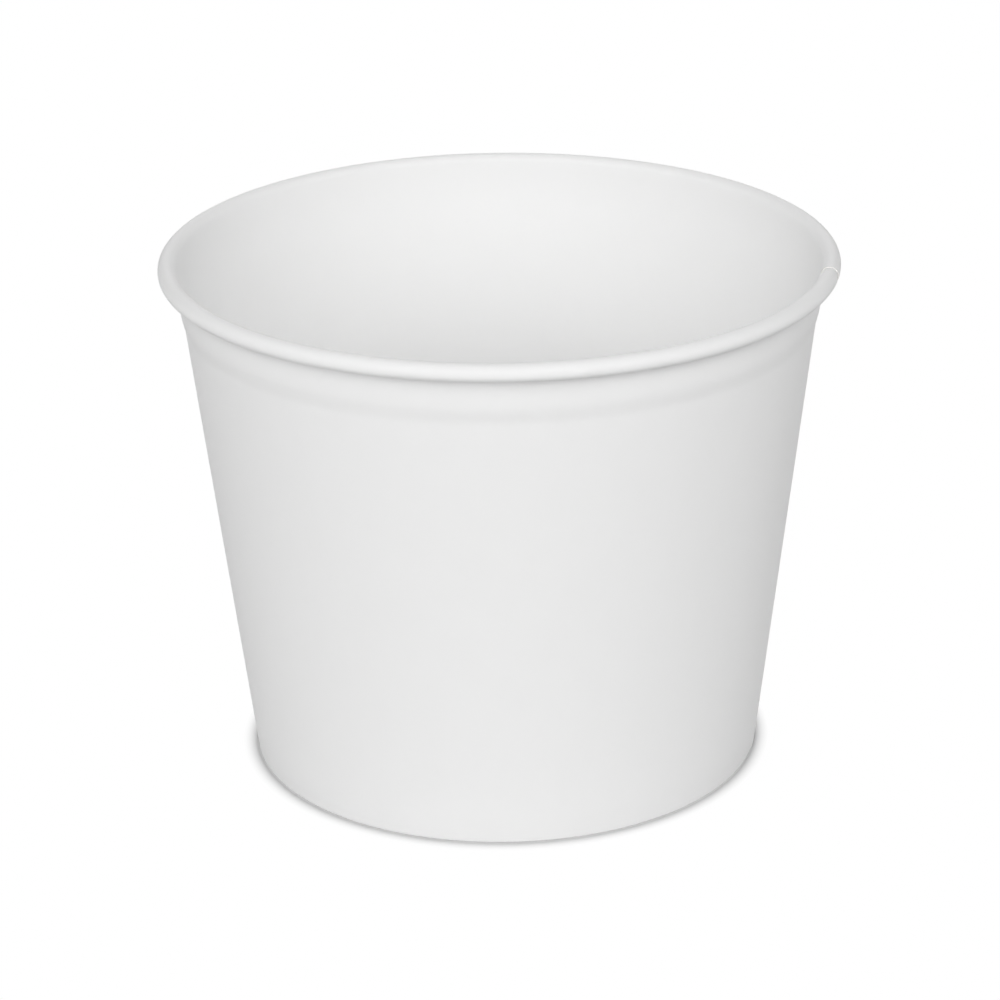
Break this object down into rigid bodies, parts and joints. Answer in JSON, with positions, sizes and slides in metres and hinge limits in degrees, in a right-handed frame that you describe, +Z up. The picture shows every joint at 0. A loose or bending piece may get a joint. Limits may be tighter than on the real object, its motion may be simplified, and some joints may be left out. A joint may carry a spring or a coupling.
{
  "type": "paper food bucket",
  "caption": "Round tapered paperboard food bucket with a rolled rim, a soft stacking shoulder, a lapped side seam and a recessed bottom held by a folded hem.",
  "frame": {"origin": "centre of the standing plane, under the folded lower edge", "axes": "+Z up along the bucket's axis, -Y towards the viewer of the picture, +X to the viewer's right, where the lapped side seam lies"},
  "size_m": [0.18, 0.18, 0.14],
  "materials": {
    "wall_board": "satin coated",
    "bottom_board": "satin coated"
  },
  "bodies": {
    "root": {"sidewall": "wall_board", "bottom_disc": "bottom_board"}
  },
  "joints": []
}
